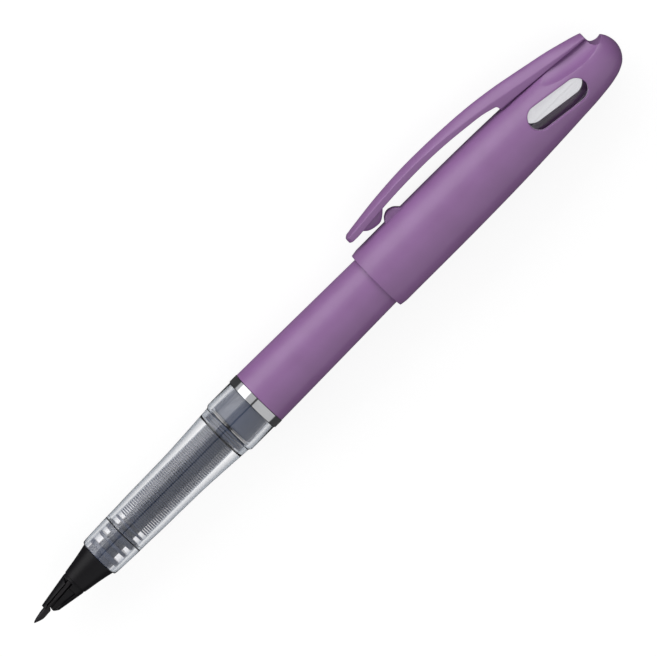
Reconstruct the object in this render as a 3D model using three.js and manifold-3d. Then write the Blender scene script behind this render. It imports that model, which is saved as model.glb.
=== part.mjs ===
// A refillable sketch pen with its cap pushed on the tail of the barrel.
// The pen's axis is X: the nib points to -X, the crown of the cap to +X, and the clip is on the +Y side.
// Sizes are in millimetres. Stations along the pen are distances from the point of the nib.
import * as THREE from "three";
import { mergeVertices } from "three/addons/utils/BufferGeometryUtils.js";
import Module from "manifold-3d";

const wasm = await Module();
wasm.setup();

// Lengths along the pen
const HOLDER_START = 3.5;
const HOLDER_END = 17.85;
const SHOULDER_START = 11.4;
const COLLAR_START = 17.95;
const COLLAR_LENGTH = 6.8;
const SLEEVE_LENGTH = 35.65;
const REAR_COLLAR_LENGTH = 6.2;
const RING_LENGTH = 1.95;
const BARREL_EXPOSED = 32.35;
const POSTING_DEPTH = 35.3;
const CAP_LENGTH = 66.1;
const TANK_LENGTH = 58;

// Radii and widths
const BARREL_RADIUS = 6.25;
const BARREL_TAPER = 0.0139;
const BARREL_WALL = 0.95;
const CAP_WALL = 0.8;
const RING_PROUD = 0.08;
const FIN_RADIUS = 3.6;
const GRIP_WALL = 0.85;
const GRIP_STEP = 0.38;
const COLLAR_WALL = 0.7;
const CORE_RADIUS = 1.95;
const FEED_RADIUS = 0.7;
const CLIP_WIDTH = 5;
const CLIP_HEIGHT = 5.2;

// The comb of fins that meters the ink
const FIN_PITCH = 0.49;
const FIN_THICKNESS = 0.25;

// The thread between the front section and the barrel
const THREAD_PITCH = 1.5;
const THREAD_TURNS = 3;
const THREAD_DEPTH = 0.4;
const THREAD_CLEARANCE = 0.22;

// The window in the cap
const WINDOW_RADIUS = 2.45;
const WINDOW_CENTRES = 9.4;
const WINDOW_SLANT = THREE.MathUtils.degToRad(8.5);

// Clearances
const FIT = 0.1;
const LOOSE = 0.15;
const ROOT_GAP = 0.3;

// Stations that follow from the lengths
const SLEEVE_START = COLLAR_START + COLLAR_LENGTH + FIT;
const SLEEVE_END = SLEEVE_START + SLEEVE_LENGTH;
const REAR_COLLAR_START = SLEEVE_END - REAR_COLLAR_LENGTH;
const RING_START = SLEEVE_END + 0.05;
const BARREL_START = RING_START + RING_LENGTH + 0.05;
const CAP_START = BARREL_START + BARREL_EXPOSED;
const CAP_END = CAP_START + CAP_LENGTH;
const BARREL_END = CAP_START + POSTING_DEPTH;
const SLOT_END = CAP_END - 25.2;
const THREAD_START = BARREL_START;
const THREAD_END = THREAD_START + THREAD_PITCH * THREAD_TURNS;

// Radii that follow from the barrel
const REAR_COLLAR_RADIUS = BARREL_RADIUS - 0.13;
const CAP_MOUTH_BORE = REAR_COLLAR_RADIUS + 0.05;
const CAP_RADIUS = CAP_MOUTH_BORE + CAP_WALL;
const FIN_BORE = FIN_RADIUS + LOOSE;
const GRIP_FRONT_RADIUS = FIN_BORE + GRIP_WALL;
const GRIP_REAR_RADIUS = REAR_COLLAR_RADIUS - GRIP_STEP;
const COLLAR_FRONT_RADIUS = FIN_BORE + COLLAR_WALL;
const HOLDER_BASE_RADIUS = FIN_BORE + 0.2;
const CONNECTOR_RADIUS = REAR_COLLAR_RADIUS - 1.16;
const THREAD_CREST = BARREL_RADIUS - 0.85;
const THREAD_ROOT = THREAD_CREST - THREAD_DEPTH;
const TANK_RADIUS = barrelRadius(SLEEVE_END + TANK_LENGTH) - BARREL_WALL - 0.4;
const TANK_NECK_RADIUS = THREAD_ROOT - 1.0;
const REAR_BORE = CONNECTOR_RADIUS + FIT;

function barrelRadius(x) {
  return BARREL_RADIUS - BARREL_TAPER * (x - BARREL_START);
}

// Twice the area that an outline of [x, radius] points goes round, positive when it goes anticlockwise.
function turning(points) {
  return points.reduce((sum, [x, r], i) => {
    const [nextX, nextR] = points[(i + 1) % points.length];
    return sum + x * nextR - nextX * r;
  }, 0);
}

// A body turned about the X axis from an outline of [x, radius] points.
// Its flats face up, down and to both sides, and each flat lies at the outline's radius.
function turned(outline, sides, closed = false) {
  const onAxis = closed ? [...outline, outline[0]] : outline;
  const points = onAxis.map(([x, r]) => new THREE.Vector2(r / Math.cos(Math.PI / sides), x));
  if (turning(outline) > 0) points.reverse();
  const geometry = new THREE.LatheGeometry(points, sides, Math.PI / sides);
  geometry.rotateZ(-Math.PI / 2);
  return geometry;
}

// A round bar along X whose surface carries a right-hand thread.
function threadedBar(start, end, root, crest, sides) {
  const steps = 6;
  const rows = Math.round(((end - start) / THREAD_PITCH) * steps);
  const depth = crest - root;
  const positions = [start, 0, 0];
  for (let row = 0; row <= rows; row++) {
    const x = start + ((end - start) * row) / rows;
    for (let side = 0; side < sides; side++) {
      const turn = side / sides;
      const phase = (((x - THREAD_START) / THREAD_PITCH - turn) % 1 + 1) % 1;
      const rise = Math.min(1, Math.max(0, 1.5 - 4 * Math.abs(phase - 0.5)));
      const r = (root + depth * rise) / Math.cos(Math.PI / sides);
      const angle = 2 * Math.PI * turn;
      positions.push(x, r * Math.cos(angle), r * Math.sin(angle));
    }
  }
  positions.push(end, 0, 0);
  const index = [];
  const last = positions.length / 3 - 1;
  for (let side = 0; side < sides; side++) {
    const next = (side + 1) % sides;
    index.push(0, 1 + next, 1 + side);
    for (let row = 0; row < rows; row++) {
      const a = 1 + row * sides;
      const b = a + sides;
      index.push(a + side, a + next, b + next);
      index.push(a + side, b + next, b + side);
    }
    index.push(last, last - sides + side, last - sides + next);
  }
  const geometry = new THREE.BufferGeometry();
  geometry.setAttribute("position", new THREE.Float32BufferAttribute(positions, 3));
  geometry.setIndex(index);
  return geometry;
}

// A bar along X with flat sides, a flat underside and a rounded back.
// Each station is [x, underside, top of the sides, crest, half width], the heights measured along Y.
function ridge(stations) {
  const across = [1, 0.6, 0.2, -0.2, -0.6, -1];
  const ring = across.length + 2;
  const positions = [];
  for (const [x, under, edge, crest, half] of stations) {
    positions.push(x, under, -half, x, under, half);
    for (const t of across) positions.push(x, edge + (crest - edge) * (1 - t * t), t * half);
  }
  const index = [];
  for (let i = 0; i < ring; i++) {
    const next = (i + 1) % ring;
    for (let s = 0; s < stations.length - 1; s++) {
      const a = s * ring;
      const b = a + ring;
      index.push(a + i, b + i, b + next, a + i, b + next, a + next);
    }
  }
  const end = (stations.length - 1) * ring;
  for (let i = 1; i < ring - 1; i++) {
    index.push(0, i, i + 1, end, end + i + 1, end + i);
  }
  const geometry = new THREE.BufferGeometry();
  geometry.setAttribute("position", new THREE.Float32BufferAttribute(positions, 3));
  geometry.setIndex(index);
  return geometry;
}

// A prism whose outline of [x, y] points is drawn in the XY plane and stands from z = low to z = high.
function prism(outline, low, high) {
  const shape = new THREE.Shape(outline.map(([x, y]) => new THREE.Vector2(x, y)));
  const geometry = new THREE.ExtrudeGeometry(shape, { depth: high - low, bevelEnabled: false });
  geometry.translate(0, 0, low);
  return geometry;
}

function toSolid(geometry) {
  const bare = geometry.clone();
  bare.deleteAttribute("normal");
  bare.deleteAttribute("uv");
  const merged = mergeVertices(bare, 1e-4);
  const mesh = new wasm.Mesh({
    numProp: 3,
    vertProperties: new Float32Array(merged.attributes.position.array),
    triVerts: new Uint32Array(merged.index.array),
  });
  return new wasm.Manifold(mesh);
}

function toGeometry(solid) {
  const mesh = solid.getMesh();
  const geometry = new THREE.BufferGeometry();
  geometry.setAttribute("position", new THREE.BufferAttribute(mesh.vertProperties, 3));
  geometry.setIndex(new THREE.BufferAttribute(mesh.triVerts, 1));
  const flat = geometry.toNonIndexed();
  flat.computeVertexNormals();
  return flat;
}

function plastic(color, roughness, opacity = 1) {
  return new THREE.MeshStandardMaterial({
    color,
    roughness,
    metalness: 0,
    transparent: opacity < 1,
    opacity,
  });
}

const MAUVE = plastic(0x8b6899, 0.5);
const BLACK = plastic(0x212123, 0.45);
const CLEAR = plastic(0xdfe3e6, 0.08, 0.35);
const SMOKE = plastic(0x545863, 0.3);
const TANK = plastic(0xd8dadd, 0.2, 0.5);
const FIBRE = plastic(0x2c2c30, 0.9);
const CHROME = new THREE.MeshStandardMaterial({ color: 0xd9dadb, roughness: 0.08, metalness: 1 });

function piece(name, shape, material) {
  const geometry = shape.isBufferGeometry ? shape : toGeometry(shape);
  const mesh = new THREE.Mesh(geometry, material);
  mesh.name = name;
  return mesh;
}

// The outside of the cap, from its chamfered mouth over the parallel body to the domed crown.
function capOutside() {
  const crown = [
    [42.6, 1],
    [30.9, 0.971],
    [23.1, 0.93],
    [15.3, 0.877],
    [9.4, 0.828],
    [5.5, 0.755],
    [3.5, 0.677],
    [1.6, 0.52],
    [0.5, 0.31],
  ];
  return [
    [CAP_START, CAP_RADIUS - 0.3],
    [CAP_START + 1.5, CAP_RADIUS],
    ...crown.map(([back, share]) => [CAP_END - back, CAP_RADIUS * share]),
    [CAP_END, 0],
  ];
}

// The hollow of the cap: the mouth slides over the rear collar of the grip, and further in the
// bore closes on the tail of the barrel and then holds the inner cap.
function capBore(grow) {
  const seat = (x) => barrelRadius(x) + 0.08;
  return [
    [CAP_START - 1, 0],
    [CAP_START - 1, CAP_MOUTH_BORE + grow],
    [CAP_START + 14, CAP_MOUTH_BORE + grow],
    [CAP_START + 26, seat(CAP_START + 26) + grow],
    [BARREL_END, seat(BARREL_END) + grow],
    [CAP_END - 11, seat(BARREL_END) - 0.45 + grow],
    [CAP_END - 8, seat(BARREL_END) - 1.05 + grow],
    [CAP_END - 4.7 + grow, seat(BARREL_END) - 1.75 + grow],
    [CAP_END - 4.7 + grow, 0],
  ];
}

// The slanted window goes through both sides of the cap.
function windowCutter() {
  const shape = new THREE.Shape();
  shape.absarc(WINDOW_CENTRES / 2, 0, WINDOW_RADIUS, -Math.PI / 2, Math.PI / 2);
  shape.absarc(-WINDOW_CENTRES / 2, 0, WINDOW_RADIUS, Math.PI / 2, (3 * Math.PI) / 2);
  const geometry = new THREE.ExtrudeGeometry(shape, {
    depth: 4 * CAP_RADIUS,
    bevelEnabled: false,
    curveSegments: 8,
  });
  geometry.translate(0, 0, -2 * CAP_RADIUS);
  geometry.rotateZ(-WINDOW_SLANT);
  geometry.translate(CAP_END - 16.9, 0.15, 0);
  return toSolid(geometry);
}

// A long shallow hollow beside the root of the clip, on the side that "way" points to.
function scoopCutter(way) {
  const geometry = new THREE.SphereGeometry(8, 24, 16);
  geometry.scale(2.2, 1, 1);
  geometry.rotateZ(THREE.MathUtils.degToRad(-6));
  geometry.translate(CAP_END - 7.2, CAP_RADIUS + 2.0, way * (CAP_RADIUS + 2.35));
  return toSolid(geometry);
}

// The step between the end of the clip's root and the crown of the cap.
function crownNotch() {
  const geometry = new THREE.CylinderGeometry(1.45, 1.45, 4 * CAP_RADIUS, 16);
  geometry.rotateX(Math.PI / 2);
  geometry.translate(CAP_END - 2.3, CAP_RADIUS * 0.57, 0);
  return toSolid(geometry);
}

// The ridge on the crown that the clip grows from.
function clipRoot() {
  const half = CLIP_WIDTH / 2;
  const rows = [
    [25.2, 5.2, 2.0, 4.03],
    [23.1, 5.15, 1.6, 3.7],
    [19.2, 5.05, 0.8, 2.95],
    [15.3, 4.9, 0.1, 2.15],
    [11.3, 4.7, -0.6, 1.35],
    [7.4, 4.2, -1.25, 0.4],
    [4.5, 3.3, -1.5, -0.6],
    [3.75, 3, -1.6, -1.0],
  ];
  return toSolid(
    ridge(
      rows.map(([back, under, edge, crest]) => [
        CAP_END - back,
        under + CAP_RADIUS - 6.9,
        CAP_RADIUS + edge,
        CAP_RADIUS + crest,
        half,
      ]),
    ),
  );
}

// A round-backed bump that stands on a flat and is narrower than the clip.
function bump(start, end, foot, top) {
  const reach = end - start;
  const halfWidth = CLIP_WIDTH * 0.24;
  return toSolid(
    prism(
      [
        [start, foot],
        [start + 0.25 * reach, top + 0.18 * (foot - top)],
        [start + 0.45 * reach, top],
        [start + 0.65 * reach, top + 0.04 * (foot - top)],
        [end, foot],
      ],
      -halfWidth,
      halfWidth,
    ),
  );
}

function capShell() {
  const body = toSolid(turned([[CAP_START, 0], ...capOutside()], 28));
  const scooped = body.subtract(scoopCutter(1)).subtract(scoopCutter(-1));
  const stop = bump(CAP_START + 9.3, CAP_START + 13.8, CAP_RADIUS - 0.3, CAP_RADIUS + 1.4);
  const outside = scooped.add(clipRoot()).add(stop).subtract(crownNotch());
  const hollow = toSolid(turned(capBore(0), 28));
  return outside.subtract(hollow).subtract(windowCutter());
}

// The springy arm of the clip, from its rounded tip to the gap at its root, with the bump that grips.
function clipArm() {
  const half = CLIP_WIDTH / 2;
  const top = CLIP_HEIGHT / 5.2;
  const length = SLOT_END - ROOT_GAP - (CAP_START + 1.65);
  const rows = [
    [0, 2.45, 2.9, 3.15, 0.55],
    [0.01, 2.15, 3.1, 3.4, 0.85],
    [0.035, 2.0, 3.25, 3.6, 1],
    [0.11, 2.15, 3.45, 4.1, 1],
    [0.21, 2.45, 3.75, 4.6, 1],
    [0.31, 2.7, 4.05, 4.95, 1],
    [0.42, 2.85, 4.25, 5.2, 1],
    [0.6, 2.85, 4.1, 5.2, 1],
    [0.7, 2.6, 3.75, 5.08, 1],
    [0.82, 2.15, 3.1, 4.82, 1],
    [0.92, 1.6, 2.5, 4.45, 1],
    [1, 1.0, 2.05, 4.08, 1],
  ];
  const arm = toSolid(
    ridge(
      rows.map(([share, under, edge, crest, width]) => [
        CAP_START + 1.65 + share * length,
        CAP_RADIUS + under * top,
        CAP_RADIUS + edge * top,
        CAP_RADIUS + crest * top,
        half * width,
      ]),
    ),
  );
  const foot = CAP_RADIUS + 2.6 * top;
  const grip = bump(CAP_START + 4.4, CAP_START + 9.5, foot, CAP_RADIUS + 0.75 * top);
  return arm.add(grip);
}

// The clear liner that seals the nib when the cap is on the front of the pen.
function innerCap() {
  const start = BARREL_END + LOOSE;
  const bore = capBore(-0.05).filter(([x]) => x > BARREL_END);
  const mouth = barrelRadius(BARREL_END) + 0.03;
  const wall = 0.6;
  return turned(
    [
      [start, mouth],
      ...bore.slice(0, -1),
      [bore.at(-1)[0], 0],
      [bore.at(-1)[0] - wall, 0],
      [bore.at(-1)[0] - wall, bore.at(-2)[1] - wall],
      ...bore
        .slice(0, -2)
        .reverse()
        .map(([x, r]) => [x, r - wall]),
      [start, mouth - 0.5],
    ],
    28,
    true,
  );
}

function barrel() {
  const nose = THREAD_CREST + THREAD_CLEARANCE;
  const floor = BARREL_END - 1.4;
  const outline = [
    [BARREL_START, THREAD_ROOT],
    [BARREL_START, BARREL_RADIUS - 0.12],
    [BARREL_START + 0.15, BARREL_RADIUS],
    [BARREL_END - 1.2, barrelRadius(BARREL_END - 1.2)],
    [BARREL_END - 0.35, barrelRadius(BARREL_END) - 0.25],
    [BARREL_END, barrelRadius(BARREL_END) - 0.9],
    [BARREL_END, 0],
    [floor, 0],
    [floor, barrelRadius(floor) - BARREL_WALL],
    [THREAD_END + 3, barrelRadius(THREAD_END + 3) - BARREL_WALL],
    [THREAD_END + 2.6, nose + 0.12],
    [THREAD_END + 0.6, nose + 0.12],
    [THREAD_END + 0.6, THREAD_ROOT],
  ];
  const blank = toSolid(turned(outline, 28, true));
  const thread = threadedBar(
    BARREL_START - THREAD_PITCH / 3,
    THREAD_END + THREAD_PITCH * (2 / 3),
    THREAD_ROOT + THREAD_CLEARANCE,
    nose,
    20,
  );
  return blank.subtract(toSolid(thread));
}

function trimRing() {
  const outer = BARREL_RADIUS + RING_PROUD;
  const inner = THREAD_ROOT + LOOSE;
  const end = RING_START + RING_LENGTH;
  return turned(
    [
      [RING_START, inner],
      [RING_START, outer - 0.12],
      [RING_START + 0.12, outer],
      [end - 0.12, outer],
      [end, outer - 0.12],
      [end, inner],
    ],
    36,
    true,
  );
}

// The dark connector: a smooth plug inside the rear collar, a neck through the ring and a thread.
function connector() {
  const start = REAR_COLLAR_START + 0.4;
  const shoulder = SLEEVE_END - 0.3;
  const outline = [
    [start, 0],
    [start, CONNECTOR_RADIUS],
    [shoulder, CONNECTOR_RADIUS - 0.3],
    [shoulder, THREAD_ROOT],
    [THREAD_START + 0.4, THREAD_ROOT],
    [THREAD_START + 0.4, 0],
  ];
  const plug = toSolid(turned(outline, 28));
  const thread = toSolid(
    threadedBar(THREAD_START + 0.3, THREAD_END, THREAD_ROOT, THREAD_CREST, 20),
  );
  const bore = [
    [start - 1, 0],
    [start - 1, 1.4],
    [start + 1, 1.4],
    [start + 1, TANK_NECK_RADIUS + FIT],
    [THREAD_END + 1, TANK_NECK_RADIUS + FIT],
    [THREAD_END + 1, 0],
  ];
  return plug.add(thread).subtract(toSolid(turned(bore, 20)));
}

function gripSleeve() {
  const front = SLEEVE_START;
  const back = REAR_COLLAR_START;
  const swell = GRIP_REAR_RADIUS - GRIP_FRONT_RADIUS;
  const bore = FIN_BORE;
  const rows = [
    [0, 0],
    [0.1, 0.02],
    [0.13, 0.15],
    [0.39, 0.22],
    [0.6, 0.37],
    [0.8, 0.65],
    [1, 1],
  ];
  const waist = rows.map(([share, rise]) => [
    front + share * (back - front - 0.6),
    GRIP_FRONT_RADIUS + rise * swell,
  ]);
  return turned(
    [
      ...waist,
      [back, REAR_COLLAR_RADIUS],
      [SLEEVE_END, REAR_COLLAR_RADIUS],
      [SLEEVE_END, REAR_BORE],
      [back - 2.6, REAR_BORE],
      [back - 2.6, bore],
      [front + 1.4, bore],
      [front + 1.4, bore + 0.5],
      [front, bore + 0.5],
    ],
    28,
    true,
  );
}

// The short clear collar in front of the grip, with a spigot that steps into the sleeve.
function frontCollar() {
  const end = COLLAR_START + COLLAR_LENGTH;
  const bore = FIN_BORE;
  return turned(
    [
      [COLLAR_START, bore],
      [COLLAR_START, COLLAR_FRONT_RADIUS - 0.15],
      [COLLAR_START + 0.3, COLLAR_FRONT_RADIUS],
      [COLLAR_START + 4.5, COLLAR_FRONT_RADIUS + 0.08],
      [end, GRIP_FRONT_RADIUS],
      [end, bore + 0.4],
      [end + 1.3, bore + 0.4],
      [end + 1.3, bore],
    ],
    28,
    true,
  );
}

// The ink metering comb: a bored core with a few spaced discs at the front, a run of fine fins and
// two larger discs at the back. Its corners, not its flats, lie at the stated radii.
function collector() {
  const front = HOLDER_END + 1.9;
  const back = REAR_COLLAR_START + 0.1;
  const fine = front + 8;
  const count = Math.floor((back - 2.2 - fine) / FIN_PITCH);
  const discs = [
    [front, 0.6, FIN_RADIUS],
    [front + 1.9, 0.7, FIN_RADIUS],
    [front + 4, 1.9, FIN_RADIUS],
    [front + 6.5, 0.8, FIN_RADIUS],
  ];
  for (let i = 0; i < count; i++) {
    discs.push([fine + i * FIN_PITCH, FIN_THICKNESS, FIN_RADIUS]);
  }
  discs.push([back - 1.7, 0.5, CONNECTOR_RADIUS], [back - 0.8, 0.8, CONNECTOR_RADIUS]);
  const sides = 10;
  const corner = Math.cos(Math.PI / sides);
  const outline = discs.flatMap(([x, thickness, radius]) => [
    [x, CORE_RADIUS],
    [x, radius * corner],
    [x + thickness, radius * corner],
    [x + thickness, CORE_RADIUS],
  ]);
  outline.shift();
  outline.pop();
  const bore = FEED_RADIUS + FIT;
  return turned([[front, bore], ...outline, [back, bore]], sides, true);
}

// The fibre rod that carries ink from the tank through the comb to the nib.
function feedRod() {
  const start = HOLDER_END - 3;
  const end = REAR_COLLAR_START + 2.6;
  return turned(
    [
      [start, 0],
      [start, FEED_RADIUS],
      [end, FEED_RADIUS],
      [end, 0],
    ],
    12,
  );
}

function inkTank() {
  const start = REAR_COLLAR_START + 1.6;
  const end = SLEEVE_END + TANK_LENGTH;
  const step = THREAD_END + 0.4;
  const wall = 0.55;
  return turned(
    [
      [start, TANK_NECK_RADIUS - wall],
      [start, TANK_NECK_RADIUS],
      [step, TANK_NECK_RADIUS],
      [step + 0.4, TANK_RADIUS],
      [end, TANK_RADIUS],
      [end, TANK_RADIUS - wall],
      [step + 0.8, TANK_RADIUS - wall],
      [step + 0.4, TANK_NECK_RADIUS - wall],
    ],
    20,
    true,
  );
}

// The stopper pressed into the back of the tank, with a flange outside it.
function tankPlug() {
  const end = SLEEVE_END + TANK_LENGTH;
  const inside = TANK_RADIUS - 0.55 - 0.05;
  return turned(
    [
      [end - 3, 0],
      [end - 3, inside - 0.3],
      [end - 2.6, inside],
      [end + 0.05, inside],
      [end + 0.05, TANK_RADIUS],
      [end + 1, TANK_RADIUS],
      [end + 1, 0],
    ],
    20,
  );
}

// The middle line of the nib starts on the pen's axis and climbs towards the clip's side as it goes back.
const NIB_RISE = Math.tan(THREE.MathUtils.degToRad(5.3));
const NIB_END = 10.8;
const NIB_THICKNESS = 0.95;

function nibLine(x) {
  return Math.min(x, NIB_END) * NIB_RISE;
}

// The plastic nib: a rounded point, a flat tongue that widens backwards and a stem in the holder.
function nib() {
  const rows = [
    [0, 0.05, 0.05],
    [0.5, 0.5, 0.42],
    [1.2, 0.98, 0.62],
    [2.2, 1.38, 0.72],
    [3.15, 1.4, 0.8],
    [3.45, 1.15, 0.84],
    [4.3, NIB_THICKNESS, 0.9],
    [NIB_END, NIB_THICKNESS, 1.9],
  ];
  const tongue = ridge(
    rows.map(([x, thick, half]) => [
      x,
      nibLine(x) - thick / 2,
      nibLine(x) + thick * 0.2,
      nibLine(x) + thick / 2,
      half,
    ]),
  );
  const stem = turned(
    [
      [NIB_END - 1, 0],
      [NIB_END - 1, 0.4],
      [HOLDER_END - 3.2, 0.4],
      [HOLDER_END - 3.2, 0],
    ],
    12,
  );
  stem.translate(0, nibLine(NIB_END), 0);
  return toSolid(tongue).add(toSolid(stem));
}

// The black holder: a beak whose upper and lower jaws close on the nib, a flared cone and a neck.
function nibHolder() {
  const beak = (x) => 1.38 + 0.17 * (x - HOLDER_START);
  const cone = (share) => SHOULDER_START + share * (HOLDER_END - SHOULDER_START);
  const outline = [
    [HOLDER_START, 0],
    [HOLDER_START, beak(HOLDER_START)],
    [SHOULDER_START - 0.15, beak(SHOULDER_START)],
    [SHOULDER_START, 2.78],
    [cone(0.2), 2.97],
    [cone(0.5), 3.28],
    [cone(0.8), HOLDER_BASE_RADIUS - 0.28],
    [HOLDER_END, HOLDER_BASE_RADIUS],
    [HOLDER_END, 2.9],
    [HOLDER_END + 1.7, 2.9],
    [HOLDER_END + 1.7, 0],
  ];
  const body = toSolid(turned(outline, 28));
  const gap = NIB_THICKNESS / 2 + 0.14;
  const slotEnd = NIB_END + 0.25;
  const slot = prism(
    [
      [HOLDER_START - 1, nibLine(HOLDER_START - 1) - gap],
      [slotEnd, nibLine(NIB_END) - gap],
      [slotEnd, nibLine(NIB_END) + gap],
      [HOLDER_START - 1, nibLine(HOLDER_START - 1) + gap],
    ],
    -5,
    5,
  );
  const lowerCut = prism(
    [
      [HOLDER_START - 1, -3],
      [5.1, -3],
      [5.4, -1.75],
      [4.85, -1.3],
      [4.45, -0.8],
      [4.4, 0.3],
      [HOLDER_START - 1, 0.3],
    ],
    -5,
    5,
  );
  const bore = turned(
    [
      [NIB_END - 1, 0],
      [NIB_END - 1, 0.55],
      [HOLDER_END - 3.1, 0.55],
      [HOLDER_END - 3.1, FEED_RADIUS + FIT],
      [HOLDER_END + 3, FEED_RADIUS + FIT],
      [HOLDER_END + 3, 0],
    ],
    12,
  );
  const stemBore = turned(
    [
      [NIB_END - 1, 0],
      [NIB_END - 1, 0.52],
      [HOLDER_END - 3.05, 0.52],
      [HOLDER_END - 3.05, 0],
    ],
    12,
  );
  stemBore.translate(0, nibLine(NIB_END), 0);
  return body
    .subtract(toSolid(slot))
    .subtract(toSolid(lowerCut))
    .subtract(toSolid(bore))
    .subtract(toSolid(stemBore));
}

const pen = new THREE.Group();
pen.add(
  piece("cap_shell", capShell(), MAUVE),
  piece("clip", clipArm(), MAUVE),
  piece("inner_cap", innerCap(), CLEAR),
  piece("barrel", barrel(), MAUVE),
  piece("trim_ring", trimRing(), CHROME),
  piece("connector", connector(), SMOKE),
  piece("grip_sleeve", gripSleeve(), CLEAR),
  piece("front_collar", frontCollar(), CLEAR),
  piece("collector", collector(), SMOKE),
  piece("feed_rod", feedRod(), FIBRE),
  piece("ink_tank", inkTank(), TANK),
  piece("tank_plug", tankPlug(), BLACK),
  piece("nib_holder", nibHolder(), BLACK),
  piece("nib", nib(), BLACK),
);

// The origin is below the middle of the pen's box, on the plane that the belly of the cap lies on.
const box = new THREE.Box3().setFromObject(pen);
const middle = box.getCenter(new THREE.Vector3());
pen.position.set(-middle.x, -middle.y, -box.min.z);

export default pen;
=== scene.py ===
"""A refillable sketch pen with its cap pushed on the tail of the barrel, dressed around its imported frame.

Sizes are in millimetres. Stations run along the pen's axis from the point of the nib, y points from the
axis to the clip and z points up.
"""
import math

import bmesh
import bpy
import numpy as np
from mathutils import Matrix, Vector


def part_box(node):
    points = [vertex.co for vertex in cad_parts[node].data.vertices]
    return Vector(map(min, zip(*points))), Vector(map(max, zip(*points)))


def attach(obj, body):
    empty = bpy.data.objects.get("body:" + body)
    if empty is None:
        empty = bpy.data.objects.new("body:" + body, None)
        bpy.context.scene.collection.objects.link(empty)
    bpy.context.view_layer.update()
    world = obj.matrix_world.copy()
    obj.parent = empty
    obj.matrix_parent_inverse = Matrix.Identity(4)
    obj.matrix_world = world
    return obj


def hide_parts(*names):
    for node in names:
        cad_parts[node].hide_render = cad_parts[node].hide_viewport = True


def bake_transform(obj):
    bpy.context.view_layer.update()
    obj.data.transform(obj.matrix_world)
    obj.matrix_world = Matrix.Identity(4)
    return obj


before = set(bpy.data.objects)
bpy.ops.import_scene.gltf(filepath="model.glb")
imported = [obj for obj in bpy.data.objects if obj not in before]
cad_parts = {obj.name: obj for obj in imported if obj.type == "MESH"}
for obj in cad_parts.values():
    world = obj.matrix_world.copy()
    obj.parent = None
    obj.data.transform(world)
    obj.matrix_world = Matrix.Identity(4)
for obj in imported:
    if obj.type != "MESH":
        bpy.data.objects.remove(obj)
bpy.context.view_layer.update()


# ---- Nib ----
# The point that draws: a flat tongue moulded in black nylon, rounded at the tip and wider towards the
# back, with a thin stem behind it. It is pressed into its holder and leans a little to the clip's side.

MM = 0.001
SHARP_EDGE = math.radians(35)
ring_low, ring_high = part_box("trim_ring")
AXIS = np.array([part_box("nib")[0].x, (ring_low.y + ring_high.y) / 2, (ring_low.z + ring_high.z) / 2])


def span(node):
    """First and last station of a CAD node."""
    low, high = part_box(node)
    return (low.x - AXIS[0]) / MM, (high.x - AXIS[0]) / MM


def widest(node):
    """Greatest radius of a CAD node that is turned about the pen's axis."""
    low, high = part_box(node)
    return (high.z - low.z) / 2 / MM


def through(points, count):
    """A smooth curve through rows of numbers: cubic Hermite pieces over the distance along the rows,
    whose tangents are central differences, read at `count` even distances."""
    rows = np.array(points, float)
    along = np.concatenate([[0], np.cumsum(np.linalg.norm(np.diff(rows[:, :2], axis=0), axis=1))])
    tangents = np.gradient(rows, along, axis=0)
    at = np.linspace(0, along[-1], count)
    i = np.clip(np.searchsorted(along, at, side="right") - 1, 0, len(along) - 2)
    gap = (along[i + 1] - along[i])[:, None]
    t = ((at - along[i]) / gap[:, 0])[:, None]
    return (
        (2 * t**3 - 3 * t**2 + 1) * rows[i]
        + (t**3 - 2 * t**2 + t) * gap * tangents[i]
        + (3 * t**2 - 2 * t**3) * rows[i + 1]
        + (t**3 - t**2) * gap * tangents[i + 1]
    )


def surface(name, *skins, loop=False):
    """A piece skinned with four-sided faces over grids of points, each (rows, columns, 3). The columns run
    round and close on themselves, and with loop the last row joins the first. A row that has shrunk to one
    point becomes a pole."""
    points, faces = [], []
    for skin in skins:
        rows, columns, _ = skin.shape
        index = np.arange(rows * columns).reshape(rows, columns) + sum(map(len, points))
        index = np.vstack([index, index[:1]]) if loop else index
        index = np.hstack([index, index[:, :1]])
        corners = [index[:-1, :-1], index[1:, :-1], index[1:, 1:], index[:-1, 1:]]
        points.append(skin.reshape(-1, 3) * MM + AXIS)
        faces.append(np.stack(corners, axis=-1).reshape(-1, 4))
    mesh = bpy.data.meshes.new(name)
    mesh.from_pydata(np.vstack(points).tolist(), [], np.vstack(faces).tolist())
    shape = bmesh.new()
    shape.from_mesh(mesh)
    bmesh.ops.remove_doubles(shape, verts=shape.verts, dist=1e-6)
    bmesh.ops.recalc_face_normals(shape, faces=shape.faces)
    shape.to_mesh(mesh)
    shape.free()
    mesh.shade_smooth()
    mesh.set_sharp_from_angle(angle=SHARP_EDGE)
    piece = bpy.data.objects.new(name, mesh)
    bpy.context.scene.collection.objects.link(piece)
    return piece


def linear(hex_colour):
    """An sRGB hex colour as linear red, green, blue and alpha."""
    srgb = np.array([int(hex_colour[i : i + 2], 16) for i in (1, 3, 5)]) / 255
    rgb = np.where(srgb <= 0.04045, srgb / 12.92, ((srgb + 0.055) / 1.055) ** 2.4)
    return (*rgb.tolist(), 1.0)


def add(tree, kind, settings, links={}):
    """Adds a node. Settings are its properties or input values by name, and links feed its inputs."""
    node = tree.nodes.new(kind)
    for name, value in settings.items():
        if name in node.inputs:
            node.inputs[name].default_value = value
        else:
            setattr(node, name, value)
    for name, output in links.items():
        tree.links.new(output, node.inputs[name])
    return node


DRIFT_ACROSS = 6


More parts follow.
